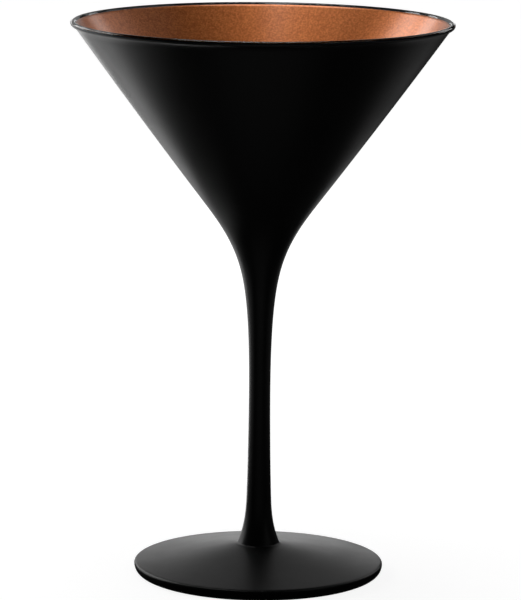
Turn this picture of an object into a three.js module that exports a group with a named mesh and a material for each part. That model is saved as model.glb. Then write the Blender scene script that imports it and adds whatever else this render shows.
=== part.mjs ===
// A stemmed martini glass: clear glass, a bronze coat inside the bowl and a matte black coat outside.
// Millimetres, +Z up, origin at the centre of the underside of the foot.
import * as THREE from "three";

// How finely the turned pieces are cut
const FACETS = 48;
const TIP_STEPS = 5;
const CURVE_STEPS = 4;
const BEAD_STEPS = 3;
const UNDER_EDGE_STEPS = 3;

// Coats
const COAT = 0.15; // thickness of every coat
const COAT_TOP_ANGLE = Math.PI / 12; // the black coat ends here on the lip bead, above its widest point
const LINING_TOP = 171.3; // the bronze coat ends here
const LINING_SHOULDER = 170.8; // and thins from here upwards
const LINING_EDGE = 0.05; // to this thickness

// Where the glass pieces are fused
const FOOT_JOINT = 9.5;
const BOWL_JOINT = 90;

// Finished outside: [height, radius], from the foot joint to the lip
const OUTSIDE = [
  [FOOT_JOINT, 6.47],
  [15, 4.76],
  [25, 3.82],
  [50, 3.34], // slimmest part of the stem
  [72, 3.54],
  [86, 4.51],
  [98, 7.0], // throat under the bowl
  [108, 11.75],
  [118, 18.85], // the straight side begins
  [170, 57.1],
];
const SLOPE_AT_FOOT = -0.42; // change of radius for each millimetre of height
const SLOPE_AT_LIP = 0.712;
const SMOOTHING_PASSES = 80; // plenty for the curve through the stations to settle
const STEM_HEIGHTS = [FOOT_JOINT, 11.2, 13.2, 16.2, 21, 29, 40, 56, 70, 80, BOWL_JOINT];
const WALL_TOP = 169.8; // the wall swells into the lip from here
const BOWL_HEIGHTS = [BOWL_JOINT, 94, 98, 102, 106, 110, 114, 118, 135, 152, WALL_TOP];

// Lip: a round bead on the rim, bare between the two coats
const LIP_TOP = 172;
const LIP_RADIUS = 0.75;
const LIP_OUTSIDE = 58.35;

// Cup: a straight cone with a rounded tip, measured on the bare glass
const CUP_SLOPE = 0.742;
const CUP_TIP_RADIUS = 6;

// Foot: a shallow cone with a thick edge, crisp above and round below
const FOOT_FILLET_END = 7.9; // radius where the fillet under the stem meets the cone
const FOOT_SLOPE = 0.176; // fall for each millimetre outwards
const FOOT_CREASE = { radius: 37.6, height: 3.7 }; // the cone ends here and the edge rounds over
const FOOT_RADIUS = 38.6;
const EDGE_HEIGHT = 2.8; // height of the widest point of the foot
const EDGE_ROUND = 2.5; // how far in the round under the edge goes
const COAT_WRAP = Math.PI / 3; // how far the coat goes round under the edge

// Hollow under the foot
const RING_INSIDE = 33.4; // inner radius of the ring that the glass stands on
const HOLLOW_KNEE = { radius: 29.4, height: 1.8, cornerRadius: 32 };
const BARE_KNEE_STEPS = 2; // steps of the knee's curve, next to the ring, that stay bare
const HOLLOW_SLOPE = 0.165;
const HOLLOW_CENTRE_HEIGHT = 6.1;
const HOLLOW_CENTRE_RADIUS = 8;

const point = (radius, height) => new THREE.Vector2(radius, height);

// Slopes that make one smooth curve through the stations, found by repeated averaging.
function stationSlopes(stations, firstSlope, lastSlope) {
  const last = stations.length - 1;
  const slopes = stations.map(() => 0);
  slopes[0] = firstSlope;
  slopes[last] = lastSlope;
  for (let pass = 0; pass < SMOOTHING_PASSES; pass++) {
    for (let i = 1; i < last; i++) {
      const [[z0, r0], [z1, r1], [z2, r2]] = stations.slice(i - 1, i + 2);
      const below = z1 - z0;
      const above = z2 - z1;
      const pull = (3 * (r1 - r0)) / below ** 2 + (3 * (r2 - r1)) / above ** 2;
      slopes[i] = (pull - slopes[i - 1] / below - slopes[i + 1] / above) / (2 / below + 2 / above);
    }
  }
  return slopes;
}

const OUTSIDE_SLOPES = stationSlopes(OUTSIDE, SLOPE_AT_FOOT, SLOPE_AT_LIP);

// Radius and slope of the finished outside at a height.
function outsideAt(height) {
  let i = 0;
  while (i < OUTSIDE.length - 2 && height > OUTSIDE[i + 1][0]) i++;
  const [[z0, r0], [z1, r1]] = OUTSIDE.slice(i, i + 2);
  const span = z1 - z0;
  const t = (height - z0) / span;
  const m0 = OUTSIDE_SLOPES[i] * span;
  const m1 = OUTSIDE_SLOPES[i + 1] * span;
  const bend2 = 3 * (r1 - r0) - 2 * m0 - m1;
  const bend3 = m0 + m1 - 2 * (r1 - r0);
  return {
    radius: r0 + t * (m0 + t * (bend2 + t * bend3)),
    slope: (m0 + t * (2 * bend2 + 3 * t * bend3)) / span,
  };
}

// Points on the outside of the bowl or stem, a depth under the finished surface.
function sidePoints(heights, depth) {
  return heights.map((height) => {
    const { radius, slope } = outsideAt(height);
    return point(radius - depth * Math.hypot(1, slope), height);
  });
}

// Points on a curve from one point to another that heads for the corner between them.
function bend(from, corner, to, steps = CURVE_STEPS) {
  return new THREE.QuadraticBezierCurve(from, corner, to).getPoints(steps);
}

// Points on part of an ellipse; angles are measured upwards from straight out.
function roundPoints(centre, across, up, fromAngle, toAngle, steps) {
  return Array.from({ length: steps + 1 }, (_, i) => {
    const angle = fromAngle + ((toAngle - fromAngle) * i) / steps;
    return point(centre.x + across * Math.cos(angle), centre.y + up * Math.sin(angle));
  });
}

// The same path moved sideways, to its right when it is walked from its first point.
function moved(path, distance) {
  return path.map((here, i) => {
    const before = path[Math.max(i - 1, 0)];
    const after = path[Math.min(i + 1, path.length - 1)];
    const along = after.clone().sub(before).normalize();
    return point(here.x + along.y * distance, here.y - along.x * distance);
  });
}

const LIP_CENTRE = point(LIP_OUTSIDE - LIP_RADIUS, LIP_TOP - LIP_RADIUS);
const CUP_ANGLE = Math.atan(CUP_SLOPE); // between the cup's side and the axis
const CUP_EDGE_ANGLE = Math.PI - CUP_ANGLE; // the bead runs into the cup's side here
const CUP_EDGE = beadPoints(LIP_RADIUS, CUP_EDGE_ANGLE, Math.PI, 1)[0];

function beadPoints(radius, fromAngle, toAngle, steps) {
  return roundPoints(LIP_CENTRE, radius, radius, fromAngle, toAngle, steps);
}

// The coated part of the lip bead, a depth under its finish, from the wall to the coat's top.
function coatedBeadPoints(depth) {
  const radius = LIP_RADIUS + COAT - depth;
  const toCentre = LIP_CENTRE.clone().sub(sidePoints([WALL_TOP], depth)[0]);
  const lean = Math.atan2(toCentre.x, toCentre.y) + Math.asin(radius / toCentre.length());
  const lower = beadPoints(radius, -lean, 0, BEAD_STEPS);
  const upper = beadPoints(radius, 0, COAT_TOP_ANGLE, 1);
  return [...lower, ...upper.slice(1)];
}

// The bare part of the lip bead, from the black coat's top over to the cup's side.
function bareBeadPoints() {
  const outerHalf = beadPoints(LIP_RADIUS, COAT_TOP_ANGLE, Math.PI / 2, BEAD_STEPS);
  const innerHalf = beadPoints(LIP_RADIUS, Math.PI / 2, CUP_EDGE_ANGLE, BEAD_STEPS - 1);
  return [...outerHalf.slice(1), ...innerHalf.slice(1)];
}

// The cup's surface from its tip on the axis up to a height, a depth above the bare glass.
function cupPoints(topHeight, depth) {
  const apex = CUP_EDGE.y - CUP_EDGE.x / CUP_SLOPE;
  const tipCentre = point(0, apex + CUP_TIP_RADIUS / Math.sin(CUP_ANGLE));
  const tipRadius = CUP_TIP_RADIUS - depth;
  const tip = roundPoints(tipCentre, tipRadius, tipRadius, -Math.PI / 2, -CUP_ANGLE, TIP_STEPS);
  tip[0].x = 0;
  const topRadius = CUP_EDGE.x - (CUP_EDGE.y - topHeight) * CUP_SLOPE - depth / Math.cos(CUP_ANGLE);
  return [...tip, point(topRadius, topHeight)];
}

// Top of the foot, from the stem out to the widest point of its edge.
function footTopPoints() {
  const crease = point(FOOT_CREASE.radius, FOOT_CREASE.height);
  const coneHeight = (radius) => crease.y + FOOT_SLOPE * (crease.x - radius);
  const joint = point(OUTSIDE[0][1], FOOT_JOINT);
  const drop = (FOOT_JOINT - coneHeight(joint.x)) / (1 + FOOT_SLOPE * SLOPE_AT_FOOT);
  const filletCorner = point(joint.x - SLOPE_AT_FOOT * drop, FOOT_JOINT - drop);
  const filletEnd = point(FOOT_FILLET_END, coneHeight(FOOT_FILLET_END));
  const edgeCorner = point(FOOT_RADIUS, coneHeight(FOOT_RADIUS));
  const edge = point(FOOT_RADIUS, EDGE_HEIGHT);
  return [...bend(joint, filletCorner, filletEnd), ...bend(crease, edgeCorner, edge)];
}

// Round under the foot's edge, from its widest point towards the ring that it stands on.
function underEdgePoints(depth, wrap, steps) {
  const centre = point(FOOT_RADIUS - EDGE_ROUND, EDGE_HEIGHT);
  return roundPoints(centre, EDGE_ROUND - depth, EDGE_HEIGHT, 0, -wrap, steps).slice(1);
}

// Bare glass of the foot's top, with its first point kept on the joint's level.
function bareFootTopPoints() {
  const path = moved(footTopPoints(), COAT);
  path[0].copy(sidePoints([FOOT_JOINT], COAT)[0]);
  path[path.length - 1].set(FOOT_RADIUS - COAT, EDGE_HEIGHT);
  return path;
}

// Hollow under the foot, from the standing ring to the axis.
function hollowPoints() {
  const { radius, height, cornerRadius } = HOLLOW_KNEE;
  const onCone = (r) => point(r, height + HOLLOW_SLOPE * (radius - r));
  const knee = bend(point(RING_INSIDE, 0), onCone(cornerRadius), onCone(radius));
  const top = point(0, HOLLOW_CENTRE_HEIGHT);
  const centreCorner = point(radius - (top.y - height) / HOLLOW_SLOPE, top.y);
  const centre = bend(onCone(HOLLOW_CENTRE_RADIUS), centreCorner, top);
  return [...knee, ...centre];
}

function clearGlass() {
  return new THREE.MeshStandardMaterial({
    color: 0xdfe8e6,
    roughness: 0.05,
    transparent: true,
    opacity: 0.5,
  });
}

function matteBlack() {
  return new THREE.MeshStandardMaterial({ color: 0x0c0c0d, roughness: 0.5 });
}

function bronze() {
  return new THREE.MeshStandardMaterial({ color: 0xa8693f, roughness: 0.4, metalness: 0.9 });
}

// A turned piece. Its profile runs anticlockwise: up the outside and down the inside.
function turned(name, profile, material) {
  const shape = new THREE.LatheGeometry(profile, FACETS);
  shape.rotateX(Math.PI / 2);
  const mesh = new THREE.Mesh(shape, material);
  mesh.name = name;
  return mesh;
}

// A profile that runs along one path and back along another, ending where it began.
function between(outer, inner) {
  return [...outer, ...inner.slice().reverse(), outer[0]];
}

// The bowl's outside, a depth under its finish, up to the top of the black coat.
function bowlSidePoints(depth) {
  return [...sidePoints(BOWL_HEIGHTS, depth), ...coatedBeadPoints(depth)];
}

function bowlGlass() {
  const cup = cupPoints(LINING_TOP, 0).reverse();
  const profile = [point(0, BOWL_JOINT), ...bowlSidePoints(COAT), ...bareBeadPoints(), ...cup];
  return turned("bowl_glass", profile, clearGlass());
}

function stemGlass() {
  const profile = [point(0, FOOT_JOINT), ...sidePoints(STEM_HEIGHTS, COAT), point(0, BOWL_JOINT)];
  return turned("stem_glass", profile, clearGlass());
}

function footGlass() {
  const coated = [...bareFootTopPoints(), ...underEdgePoints(COAT, COAT_WRAP, UNDER_EDGE_STEPS)];
  const outside = [...coated, ...underEdgePoints(COAT, Math.PI / 2, 1)].reverse();
  const profile = [...hollowPoints().reverse(), ...outside, point(0, FOOT_JOINT)];
  return turned("foot_glass", profile, clearGlass());
}

function bowlLining() {
  const face = [...cupPoints(LINING_SHOULDER, COAT), cupPoints(LINING_TOP, LINING_EDGE).at(-1)];
  return turned("bowl_lining", [...cupPoints(LINING_TOP, 0), ...face.reverse()], bronze());
}

function bowlCoat() {
  return turned("bowl_coat", between(bowlSidePoints(0), bowlSidePoints(COAT)), matteBlack());
}

function stemCoat() {
  const profile = between(sidePoints(STEM_HEIGHTS, 0), sidePoints(STEM_HEIGHTS, COAT));
  return turned("stem_coat", profile, matteBlack());
}

function footCoat() {
  const outer = [...footTopPoints(), ...underEdgePoints(0, COAT_WRAP, UNDER_EDGE_STEPS)].reverse();
  const inner = [...bareFootTopPoints(), ...underEdgePoints(COAT, COAT_WRAP, UNDER_EDGE_STEPS)].reverse();
  return turned("foot_coat", between(outer, inner), matteBlack());
}

function footBaseCoat() {
  const bare = hollowPoints().slice(BARE_KNEE_STEPS).reverse();
  const outer = moved(bare, COAT);
  outer[0].x = 0;
  return turned("foot_base_coat", [...outer, ...bare.slice().reverse()], matteBlack());
}

const glass = new THREE.Group();
glass.name = "martini_glass";
glass.add(bowlGlass(), stemGlass(), footGlass(), bowlLining());
glass.add(bowlCoat(), stemCoat(), footCoat(), footBaseCoat());

export default glass;
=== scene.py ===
"""Martini glass: looks, floor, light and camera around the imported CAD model. Metres, +Z up."""
import math

import bpy
from mathutils import Matrix, Vector


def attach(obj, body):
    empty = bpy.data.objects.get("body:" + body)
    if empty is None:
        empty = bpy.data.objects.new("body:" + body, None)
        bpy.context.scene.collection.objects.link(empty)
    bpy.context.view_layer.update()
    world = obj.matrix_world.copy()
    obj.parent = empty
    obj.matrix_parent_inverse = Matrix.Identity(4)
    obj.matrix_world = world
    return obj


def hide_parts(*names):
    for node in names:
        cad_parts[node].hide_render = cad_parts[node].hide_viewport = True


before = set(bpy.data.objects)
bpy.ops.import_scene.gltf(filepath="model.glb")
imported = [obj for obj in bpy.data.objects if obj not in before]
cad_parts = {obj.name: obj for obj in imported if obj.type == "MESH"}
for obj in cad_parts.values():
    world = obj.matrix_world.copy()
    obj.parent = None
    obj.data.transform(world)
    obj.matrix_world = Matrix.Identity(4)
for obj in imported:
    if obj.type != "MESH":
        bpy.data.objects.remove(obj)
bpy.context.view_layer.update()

MM = 0.001

# How finely the shown pieces are cut
AROUND = 288
SIDE_STEP = 1.2 * MM
CURVE_STEPS = 14
WALL_STEPS = 40
ARC_STEP = math.radians(9)
SHARP_CORNER = math.radians(35)  # faces that meet at more than this keep a sharp edge in the shading
SMOOTHING_PASSES = 80  # rounds of averaging that settle the slopes of the stem and bowl

# Coats
COAT = 0.15 * MM  # thickness of every coat
BOND = 0.02 * MM  # how far a coat sinks into the glass, so that no air shows between them
COAT_TOP_ANGLE = math.pi / 12  # the black coat ends here on the lip bead, above its widest point
LINING_TOP = 171.3 * MM
LINING_SHOULDER = 170.8 * MM  # the bronze coat thins from here upwards
LINING_EDGE = 0.05 * MM

# Where the glass pieces are fused
FOOT_JOINT = 9.5 * MM
BOWL_JOINT = 90 * MM

# Finished outside: (height, radius) in millimetres, from the foot joint to the lip
OUTSIDE_MM = (
    (9.5, 6.47),
    (15, 4.76),
    (25, 3.82),
    (50, 3.34),
    (72, 3.54),
    (86, 4.51),
    (98, 7.0),
    (108, 11.75),
    (118, 18.85),
    (170, 57.1),
)
OUTSIDE = [(z * MM, r * MM) for z, r in OUTSIDE_MM]
SLOPE_AT_FOOT = -0.42
SLOPE_AT_LIP = 0.712

# Lip and cup
WALL_TOP = 169.8 * MM
LIP_TOP = 172 * MM
LIP_RADIUS = 0.75 * MM
LIP_OUTSIDE = 58.35 * MM
CUP_SLOPE = 0.742
CUP_TIP_RADIUS = 6 * MM

# Foot
FOOT_FILLET_END = 7.9 * MM
FOOT_SLOPE = 0.176
CREASE = (37.6 * MM, 3.7 * MM)  # the cone ends here and the edge rounds over
FOOT_RADIUS = 38.6 * MM
EDGE_HEIGHT = 2.8 * MM
EDGE_ROUND = 2.5 * MM
COAT_WRAP = math.pi / 3

# Hollow under the foot
RING_INSIDE = 33.4 * MM
KNEE = (29.4 * MM, 1.8 * MM)
KNEE_CORNER_RADIUS = 32 * MM
HOLLOW_SLOPE = 0.165
HOLLOW_CENTRE_HEIGHT = 6.1 * MM
HOLLOW_CENTRE_RADIUS = 8 * MM
BASE_COAT_START = 0.4  # share of the knee's curve that stays bare


# --- outlines, as lists of (radius, height) -------------------------------------------------------

def station_slopes(stations, first, last):
    """Slopes that make one smooth curve through the stations, found by repeated averaging."""
    slopes = [first] + [0.0] * (len(stations) - 2) + [last]
    for _ in range(SMOOTHING_PASSES):
        for i in range(1, len(stations) - 1):
            (z0, r0), (z1, r1), (z2, r2) = stations[i - 1:i + 2]
            below, above = z1 - z0, z2 - z1
            pull = 3 * (r1 - r0) / below**2 + 3 * (r2 - r1) / above**2
            slopes[i] = (pull - slopes[i - 1] / below - slopes[i + 1] / above) / (2 / below + 2 / above)
    return slopes


OUTSIDE_SLOPES = station_slopes(OUTSIDE, SLOPE_AT_FOOT, SLOPE_AT_LIP)


def outside_at(height):
    """Radius and slope of the finished outside of the stem and bowl."""
    i = 0
    while i < len(OUTSIDE) - 2 and height > OUTSIDE[i + 1][0]:
        i += 1
    (z0, r0), (z1, r1) = OUTSIDE[i:i + 2]
    span = z1 - z0
    t = (height - z0) / span
    m0, m1 = OUTSIDE_SLOPES[i] * span, OUTSIDE_SLOPES[i + 1] * span
    bend2 = 3 * (r1 - r0) - 2 * m0 - m1
    bend3 = m0 + m1 - 2 * (r1 - r0)
    radius = r0 + t * (m0 + t * (bend2 + t * bend3))
    slope = (m0 + t * (2 * bend2 + 3 * t * bend3)) / span
    return radius, slope


def side(low, high, depth):
    """Outside of the stem or bowl between two heights, a depth under the finished surface."""
    steps = max(2, round((high - low) / SIDE_STEP))
    points = []
    for i in range(steps + 1):
        height = low + (high - low) * i / steps
        radius, slope = outside_at(height)
        points.append((radius - depth * math.hypot(1, slope), height))
    return points


def bend(start, corner, end, steps=CURVE_STEPS):
    """A curve from start to end that heads for the corner between them."""
    points = []
    for i in range(steps + 1):
        t = i / steps
        a, b, c = (1 - t) ** 2, 2 * t * (1 - t), t**2
        points.append(tuple(a * p + b * q + c * s for p, q, s in zip(start, corner, end)))
    return points


def arc(centre, across, up, start, end):
    """Part of an ellipse; angles are measured upwards from straight out."""
    steps = max(1, math.ceil(abs(end - start) / ARC_STEP))
    angles = [start + (end - start) * i / steps for i in range(steps + 1)]
    return [(centre[0] + across * math.cos(a), centre[1] + up * math.sin(a)) for a in angles]


def straight(start, end, steps):
    """Evenly spaced points from start to end."""
    return [tuple(p + (q - p) * i / steps for p, q in zip(start, end)) for i in range(steps + 1)]


def moved(path, distance):
    """The path shifted to its right when it is walked from its first point."""
    shifted = []
    for i, (r, z) in enumerate(path):
        r0, z0 = path[max(i - 1, 0)]
        r1, z1 = path[min(i + 1, len(path) - 1)]
        length = math.hypot(r1 - r0, z1 - z0)
        shifted.append((r + distance * (z1 - z0) / length, z - distance * (r1 - r0) / length))
    return shifted


LIP_CENTRE = (LIP_OUTSIDE - LIP_RADIUS, LIP_TOP - LIP_RADIUS)
CUP_ANGLE = math.atan(CUP_SLOPE)
CUP_EDGE = arc(LIP_CENTRE, LIP_RADIUS, LIP_RADIUS, math.pi - CUP_ANGLE, math.pi)[0]


def coated_bead(depth):
    """The coated part of the lip bead, a depth under its finish, from the wall to the coat's top."""
    radius = LIP_RADIUS + COAT - depth
    wall_r, wall_z = side(BOWL_JOINT, WALL_TOP, depth)[-1]
    across, up = LIP_CENTRE[0] - wall_r, LIP_CENTRE[1] - wall_z
    lean = math.atan2(across, up) + math.asin(radius / math.hypot(across, up))
    below = arc(LIP_CENTRE, radius, radius, -lean, 0)
    above = arc(LIP_CENTRE, radius, radius, 0, COAT_TOP_ANGLE)
    return below + above[1:]


def bare_bead():
    """The bare part of the lip bead, from the black coat's top over to the cup's side."""
    outer_half = arc(LIP_CENTRE, LIP_RADIUS, LIP_RADIUS, COAT_TOP_ANGLE, math.pi / 2)
    inner_half = arc(LIP_CENTRE, LIP_RADIUS, LIP_RADIUS, math.pi / 2, math.pi - CUP_ANGLE)
    return outer_half[1:] + inner_half[1:]


def bowl_side(depth):
    """The bowl's outside, a depth under its finish, up to the top of the black coat."""
    return side(BOWL_JOINT, WALL_TOP, depth) + coated_bead(depth)


def cup(top, depth):
    """The cup from its tip up to a height, a depth above the bare glass."""
    apex = CUP_EDGE[1] - CUP_EDGE[0] / CUP_SLOPE
    centre = (0.0, apex + CUP_TIP_RADIUS / math.sin(CUP_ANGLE))
    tip = arc(centre, CUP_TIP_RADIUS - depth, CUP_TIP_RADIUS - depth, -math.pi / 2, -CUP_ANGLE)
    tip[0] = (0.0, tip[0][1])
    top_radius = CUP_EDGE[0] - (CUP_EDGE[1] - top) * CUP_SLOPE - depth / math.cos(CUP_ANGLE)
    return tip + straight(tip[-1], (top_radius, top), WALL_STEPS)[1:]


def foot_top():
    """Top of the foot, from the stem out to the widest point of its edge."""

    def cone(radius):
        return (radius, CREASE[1] + FOOT_SLOPE * (CREASE[0] - radius))

    joint = (OUTSIDE[0][1], FOOT_JOINT)
    drop = (FOOT_JOINT - cone(joint[0])[1]) / (1 + FOOT_SLOPE * SLOPE_AT_FOOT)
    fillet_corner = (joint[0] - SLOPE_AT_FOOT * drop, FOOT_JOINT - drop)
    fillet = bend(joint, fillet_corner, cone(FOOT_FILLET_END))
    edge = bend(CREASE, cone(FOOT_RADIUS), (FOOT_RADIUS, EDGE_HEIGHT))
    return fillet + straight(fillet[-1], CREASE, WALL_STEPS)[1:-1] + edge


def under_edge(depth, wrap):
    """Round under the foot's edge, from its widest point towards the standing ring."""
    centre = (FOOT_RADIUS - EDGE_ROUND, EDGE_HEIGHT)
    return arc(centre, EDGE_ROUND - depth, EDGE_HEIGHT, 0, -wrap)[1:]


def bare_foot_top(depth):
    """The foot's top at a depth under its finish, with its first point on the joint's level."""
    path = moved(foot_top(), depth)
    path[0] = side(FOOT_JOINT, BOWL_JOINT, depth)[0]
    path[-1] = (FOOT_RADIUS - depth, EDGE_HEIGHT)
    return path


def hollow():
    """Hollow under the foot, from the standing ring to the axis."""
    knee_r, knee_z = KNEE

    def cone(radius):
        return (radius, knee_z + HOLLOW_SLOPE * (knee_r - radius))

    knee = bend((RING_INSIDE, 0.0), cone(KNEE_CORNER_RADIUS), KNEE)
    centre_corner_r = knee_r - (HOLLOW_CENTRE_HEIGHT - knee_z) / HOLLOW_SLOPE
    middle = bend(
        cone(HOLLOW_CENTRE_RADIUS),
        (centre_corner_r, HOLLOW_CENTRE_HEIGHT),
        (0.0, HOLLOW_CENTRE_HEIGHT),
    )
    return knee + straight(knee[-1], middle[0], WALL_STEPS // 2)[1:-1] + middle


# --- materials -------------------------------------------------------------------------------------

def new_material(name):
    material = bpy.data.materials.new(name)
    material.use_nodes = True
    nodes = material.node_tree.nodes
    return material, nodes, material.node_tree.links, nodes["Principled BSDF"]


def add(nodes, kind, inputs=(), **settings):
    node = nodes.new(kind)
    for key, value in settings.items():
        setattr(node, key, value)
    for key, value in dict(inputs).items():
        node.inputs[key].default_value = value
    return node


def clear_glass():
    material, _, _, shader = new_material("clear_glass")
    shader.inputs["Base Color"].default_value = (0.95, 0.985, 0.965, 1)
    shader.inputs["Roughness"].default_value = 0.015
    shader.inputs["IOR"].default_value = 1.52
    shader.inputs["Transmission Weight"].default_value = 1.0
    return material


def matte_black():
    """Sprayed black lacquer, a little cloudy and finely grained."""
    material, nodes, links, shader = new_material("matte_black_lacquer")
    place = add(nodes, "ShaderNodeTexCoord")
    cloud = add(nodes, "ShaderNodeTexNoise", {"Scale": 60.0, "Detail": 4.0, "Roughness": 0.6})
    sheen = {"From Min": 0.3, "From Max": 0.7, "To Min": 0.34, "To Max": 0.40}
    gloss = add(nodes, "ShaderNodeMapRange", sheen)
    tint = add(nodes, "ShaderNodeValToRGB")
    tint.color_ramp.elements[0].color = (0.0026, 0.0026, 0.0028, 1)
    tint.color_ramp.elements[1].color = (0.0050, 0.0050, 0.0053, 1)
    grain = add(nodes, "ShaderNodeTexNoise", {"Scale": 4200.0, "Detail": 2.0})
    bump = add(nodes, "ShaderNodeBump", {"Strength": 0.25, "Distance": 0.00002})
    links.new(place.outputs["Object"], cloud.inputs["Vector"])
    links.new(place.outputs["Object"], grain.inputs["Vector"])
    links.new(cloud.outputs["Fac"], gloss.inputs["Value"])
    links.new(cloud.outputs["Fac"], tint.inputs["Fac"])
    links.new(grain.outputs["Fac"], bump.inputs["Height"])
    links.new(gloss.outputs["Result"], shader.inputs["Roughness"])
    links.new(tint.outputs["Color"], shader.inputs["Base Color"])
    links.new(bump.outputs["Normal"], shader.inputs["Normal"])
    shader.inputs["IOR"].default_value = 1.4
    return material


def bronze():
    """Fine metal flakes in a bronze lacquer, with a thin clear film over them."""
    material, nodes, links, shader = new_material("bronze_lacquer")
    place = add(nodes, "ShaderNodeTexCoord")
    flake = add(nodes, "ShaderNodeTexVoronoi", {"Scale": 2600.0})
    cloud = add(nodes, "ShaderNodeTexNoise", {"Scale": 900.0, "Detail": 3.0})
    shade = add(nodes, "ShaderNodeValToRGB")
    shade.color_ramp.elements[0].position = 0.25
    shade.color_ramp.elements[0].color = (0.46, 0.125, 0.028, 1)
    shade.color_ramp.elements[1].position = 0.75
    shade.color_ramp.elements[1].color = (0.72, 0.225, 0.060, 1)
    tone = add(nodes, "ShaderNodeMix", {"Factor": 0.5}, data_type="FLOAT")
    bump = add(nodes, "ShaderNodeBump", {"Strength": 0.35, "Distance": 0.00006})
    separate = add(nodes, "ShaderNodeSeparateColor")
    links.new(place.outputs["Object"], flake.inputs["Vector"])
    links.new(place.outputs["Object"], cloud.inputs["Vector"])
    links.new(flake.outputs["Color"], separate.inputs["Color"])
    links.new(separate.outputs[0], tone.inputs["A"])
    links.new(cloud.outputs["Fac"], tone.inputs["B"])
    links.new(tone.outputs["Result"], shade.inputs["Fac"])
    links.new(tone.outputs["Result"], bump.inputs["Height"])
    links.new(shade.outputs["Color"], shader.inputs["Base Color"])
    links.new(bump.outputs["Normal"], shader.inputs["Normal"])
    shader.inputs["Metallic"].default_value = 1.0
    shader.inputs["Roughness"].default_value = 0.42
    shader.inputs["Coat Weight"].default_value = 1.0
    shader.inputs["Coat Roughness"].default_value = 0.22
    shader.inputs["Coat IOR"].default_value = 1.5
    return material


GLASS = clear_glass()
BLACK = matte_black()
BRONZE = bronze()


# --- pieces ----------------------------------------------------------------------------------------

def turned(name, outline, material, node):
    """A piece turned round the axis. Its outline runs anticlockwise; points on the axis become tips."""
    vertices, rings = [], []
    for radius, height in outline:
        if radius <= 0:
            rings.append([len(vertices)])
            vertices.append((0.0, 0.0, height))
            continue
        first = len(vertices)
        rings.append(list(range(first, first + AROUND)))
        for i in range(AROUND):
            angle = 2 * math.pi * i / AROUND
            vertices.append((radius * math.cos(angle), radius * math.sin(angle), height))
    faces = []
    closed = outline[0][0] > 0
    pairs = list(zip(rings, rings[1:])) + ([(rings[-1], rings[0])] if closed else [])
    for low, high in pairs:
        for i in range(AROUND):
            j = (i + 1) % AROUND
            if len(low) == 1:
                faces.append((low[0], high[j], high[i]))
            elif len(high) == 1:
                faces.append((low[i], low[j], high[0]))
            else:
                faces.append((low[i], low[j], high[j], high[i]))
    mesh = bpy.data.meshes.new(name)
    mesh.from_pydata(vertices, [], faces)
    mesh.materials.append(material)
    mesh.update()
    piece = bpy.data.objects.new(name, mesh)
    bpy.context.scene.collection.objects.link(piece)
    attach(piece, "root")
    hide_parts(node)
    return piece


def smooth_but_for_corners(piece):
    """Smooth shading, kept sharp at the piece's real corners."""
    mesh = piece.data
    mesh.shade_smooth()
    normals = [face.normal.copy() for face in mesh.polygons]
    faces_at = {}
    for face in mesh.polygons:
        for key in face.edge_keys:
            faces_at.setdefault(key, []).append(face.index)
    for edge in mesh.edges:
        found = faces_at.get(edge.key, [])
        if len(found) == 2 and normals[found[0]].angle(normals[found[1]], 0) > SHARP_CORNER:
            edge.use_edge_sharp = True


def between(outer, inner):
    """An outline that runs along one path and back along another."""
    return outer + inner[::-1]


def bowl_glass():
    outline = [(0.0, BOWL_JOINT)] + bowl_side(COAT) + bare_bead() + cup(LINING_TOP, 0)[::-1]
    return turned("bowl_glass_piece", outline, GLASS, "bowl_glass")


def stem_glass():
    outline = [(0.0, FOOT_JOINT)] + side(FOOT_JOINT, BOWL_JOINT, COAT) + [(0.0, BOWL_JOINT)]
    return turned("stem_glass_piece", outline, GLASS, "stem_glass")


def foot_glass():
    outside = bare_foot_top(COAT) + under_edge(COAT, math.pi / 2)
    outline = hollow()[::-1] + outside[::-1] + [(0.0, FOOT_JOINT)]
    return turned("foot_glass_piece", outline, GLASS, "foot_glass")


def bowl_lining():
    face = cup(LINING_SHOULDER, COAT)
    middle = (LINING_SHOULDER + LINING_TOP) / 2
    face += bend(face[-1], cup(middle, COAT)[-1], cup(LINING_TOP, LINING_EDGE)[-1])[1:]
    outline = between(cup(LINING_TOP, -BOND), face)
    return turned("bowl_lining_piece", outline, BRONZE, "bowl_lining")


def bowl_coat():
    outline = between(bowl_side(0), bowl_side(COAT + BOND))
    return turned("bowl_coat_piece", outline, BLACK, "bowl_coat")


def stem_coat():
    outline = between(side(FOOT_JOINT, BOWL_JOINT, 0), side(FOOT_JOINT, BOWL_JOINT, COAT + BOND))
    return turned("stem_coat_piece", outline, BLACK, "stem_coat")


def foot_coat():
    outer = foot_top() + under_edge(0, COAT_WRAP)
    inner = bare_foot_top(COAT + BOND) + under_edge(COAT + BOND, COAT_WRAP)
    outline = between(outer[::-1], inner[::-1])
    return turned("foot_coat_piece", outline, BLACK, "foot_coat")


def foot_base_coat():
    bare = hollow()[round(BASE_COAT_START * CURVE_STEPS):][::-1]
    low = moved(bare, COAT)
    high = moved(bare, -BOND)
    low[0] = (0.0, low[0][1])
    high[0] = (0.0, high[0][1])
    return turned("foot_base_coat_piece", between(low, high), BLACK, "foot_base_coat")


def build_glass():
    made = [bowl_glass(), stem_glass(), foot_glass(), bowl_lining()]
    made += [bowl_coat(), stem_coat(), foot_coat(), foot_base_coat()]
    for piece in made:
        smooth_but_for_corners(piece)


# --- floor, light and camera -----------------------------------------------------------------------

# The floor's own emission by distance from the glass, so that it reads as a white studio sweep; it is
# dimmer near the glass, a painted shade round the glass's foot under which the lamps' real soft shadow
# shows
FLOOR_GLOW_AND_PAINTED_SHADE = {"From Min": 0.05, "From Max": 0.40, "To Min": 0.90, "To Max": 1.0}
FLOOR_SIZE = 6

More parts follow.
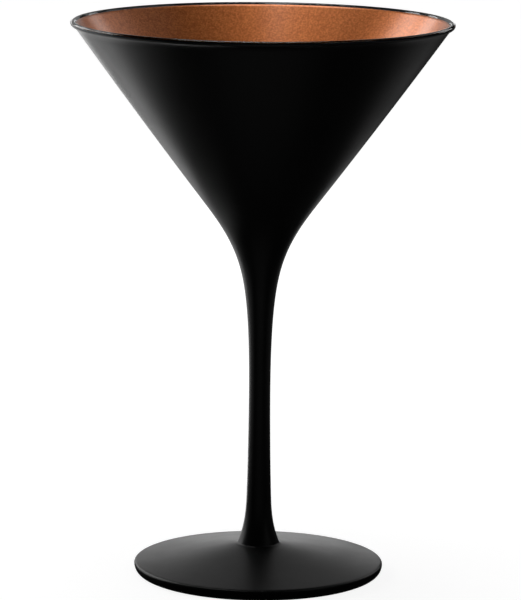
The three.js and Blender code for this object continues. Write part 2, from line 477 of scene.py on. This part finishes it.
# Lights, in metres. A brightness of 1 would be white in the picture.
PANEL_DISTANCE = 0.8
GLASS_MIDDLE = (0, 0, 0.09)
CARD_HEIGHT = 0.002
ROOM_GLOW = 0.01


def pale_floor():
    """A pale floor that takes a faint soft shadow under the glass: the lamps' real shadow, deepened by
    emission painted dimmer near the glass.
    """
    bpy.ops.mesh.primitive_plane_add(size=FLOOR_SIZE)
    floor = bpy.context.object
    floor.name = "floor"
    material, nodes, links, shader = new_material("pale_floor")
    shader.inputs["Base Color"].default_value = (0.25, 0.25, 0.25, 1)
    shader.inputs["Roughness"].default_value = 0.9
    shader.inputs["Specular IOR Level"].default_value = 0.0
    shader.inputs["Emission Color"].default_value = (1, 1, 1, 1)
    place = add(nodes, "ShaderNodeTexCoord")
    distance = add(nodes, "ShaderNodeVectorMath", operation="LENGTH")
    # emission fades towards the glass: painted shade round its foot
    glow_and_painted_shade = add(nodes, "ShaderNodeMapRange", FLOOR_GLOW_AND_PAINTED_SHADE)
    links.new(place.outputs["Object"], distance.inputs[0])
    links.new(distance.outputs["Value"], glow_and_painted_shade.inputs["Value"])
    links.new(glow_and_painted_shade.outputs["Result"], shader.inputs["Emission Strength"])
    floor.data.materials.append(material)
    floor.visible_diffuse = False
    floor.visible_glossy = False
    floor.visible_transmission = True


def towards(left_of_back, distance, height):
    """A place round the glass, some degrees to the camera's left of straight behind it."""
    angle = math.radians(left_of_back)
    return Vector((-distance * math.sin(angle), distance * math.cos(angle), height))


def soft_light(name, centre, target, width, height, brightness):
    """A rectangular soft light that faces a point, unseen by the camera."""
    data = bpy.data.lights.new(name, "AREA")
    data.shape = "RECTANGLE"
    data.size, data.size_y = width, height
    data.energy = brightness * math.pi * width * height
    lamp = bpy.data.objects.new(name, data)
    lamp.location = centre
    lamp.rotation_euler = (Vector(target) - Vector(centre)).to_track_quat("-Z", "Y").to_euler()
    lamp.visible_camera = False
    bpy.context.scene.collection.objects.link(lamp)


def panel(name, left_of_back, elevation, width, height, brightness):
    """A softbox on a stand, at an elevation in degrees above the glass's own height."""
    rise = math.radians(elevation)
    centre = towards(left_of_back, PANEL_DISTANCE * math.cos(rise), GLASS_MIDDLE[2])
    centre.z += PANEL_DISTANCE * math.sin(rise)
    soft_light(name, centre, GLASS_MIDDLE, width, height, brightness)


def floor_card(name, left_of_back, distance, size, brightness):
    """A square card lying on the floor that lights the glass from below."""
    centre = towards(left_of_back, distance, CARD_HEIGHT)
    soft_light(name, centre, centre + Vector((0, 0, 1)), size, size, brightness)


def studio_light():
    panel("overhead", 45, 82, 0.50, 0.50, 2.6)
    panel("left_high", 60, 33, 0.42, 0.26, 2.9)
    panel("left_low", 60, 3, 0.42, 0.16, 2.9)
    panel("left_back_high", 38, 20, 0.30, 0.30, 2.2)
    panel("back_low", 10, 3, 0.70, 0.16, 1.35)
    panel("back_high", 10, 16, 0.70, 0.20, 0.3)
    panel("back_top", 0, 32, 0.90, 0.22, 0.3)
    panel("right_back_high", -38, 20, 0.30, 0.30, 1.0)
    panel("right_high", -60, 33, 0.42, 0.26, 0.4)
    panel("right_top", -60, 52, 0.42, 0.26, 0.15)
    panel("right_front_high", -125, 40, 0.42, 0.26, 0.4)
    panel("right_front_low", -120, 10, 0.42, 0.25, 0.15)
    floor_card("floor_behind_near", 10, 0.13, 0.11, 3.3)
    floor_card("floor_behind", 0, 0.34, 0.25, 0.5)
    floor_card("floor_behind_far", 15, 0.75, 0.50, 2.4)
    floor_card("floor_behind_left", 45, 0.34, 0.25, 1.15)
    floor_card("floor_left", 85, 0.30, 0.25, 0.4)
    floor_card("floor_behind_right", -45, 0.38, 0.28, 0.15)
    floor_card("floor_right", -90, 0.38, 0.28, 0.2)
    floor_card("floor_front_near", 180, 0.12, 0.14, 0.07)
    floor_card("floor_front", 180, 0.40, 0.40, 0.16)


def white_surroundings():
    """Seen directly or through clear glass, all is white round the glass; a dim grey room lights it."""
    world = bpy.data.worlds.new("studio")
    world.use_nodes = True
    bpy.context.scene.world = world
    nodes, links = world.node_tree.nodes, world.node_tree.links
    nodes.clear()
    path = add(nodes, "ShaderNodeLightPath")
    direct = add(nodes, "ShaderNodeMath", operation="MAXIMUM")
    room = add(nodes, "ShaderNodeBackground", {"Color": (1, 1, 1, 1), "Strength": ROOM_GLOW})
    seen = add(nodes, "ShaderNodeBackground", {"Color": (1, 1, 1, 1), "Strength": 1.0})
    mix = add(nodes, "ShaderNodeMixShader")
    out = add(nodes, "ShaderNodeOutputWorld")
    links.new(path.outputs["Is Camera Ray"], direct.inputs[0])
    links.new(path.outputs["Is Transmission Ray"], direct.inputs[1])
    links.new(direct.outputs["Value"], mix.inputs["Fac"])
    links.new(room.outputs["Background"], mix.inputs[1])
    links.new(seen.outputs["Background"], mix.inputs[2])
    links.new(mix.outputs["Shader"], out.inputs["Surface"])


CAMERA_DISTANCE = 1148.2 * MM
CAMERA_HEIGHT = 292.4 * MM
CAMERA_DOWN = 0.178  # radians below the horizon
CAMERA_ROLL = 0.009
CAMERA_LENS = 227.4
CAMERA_SENSOR = 36  # the picture's long side, in the lens's millimetres


def photo_camera():
    data = bpy.data.cameras.new("camera")
    data.lens = CAMERA_LENS
    data.sensor_width = CAMERA_SENSOR
    data.clip_start, data.clip_end = 0.05, 20
    camera = bpy.data.objects.new("camera", data)
    camera.location = (0, -CAMERA_DISTANCE, CAMERA_HEIGHT)
    upright = Matrix.Rotation(math.pi / 2 - CAMERA_DOWN, 4, "X")
    camera.rotation_euler = (upright @ Matrix.Rotation(CAMERA_ROLL, 4, "Z")).to_euler()
    bpy.context.scene.collection.objects.link(camera)
    bpy.context.scene.camera = camera


build_glass()
pale_floor()
studio_light()
white_surroundings()
photo_camera()
bpy.context.scene.view_settings.view_transform = "Standard"
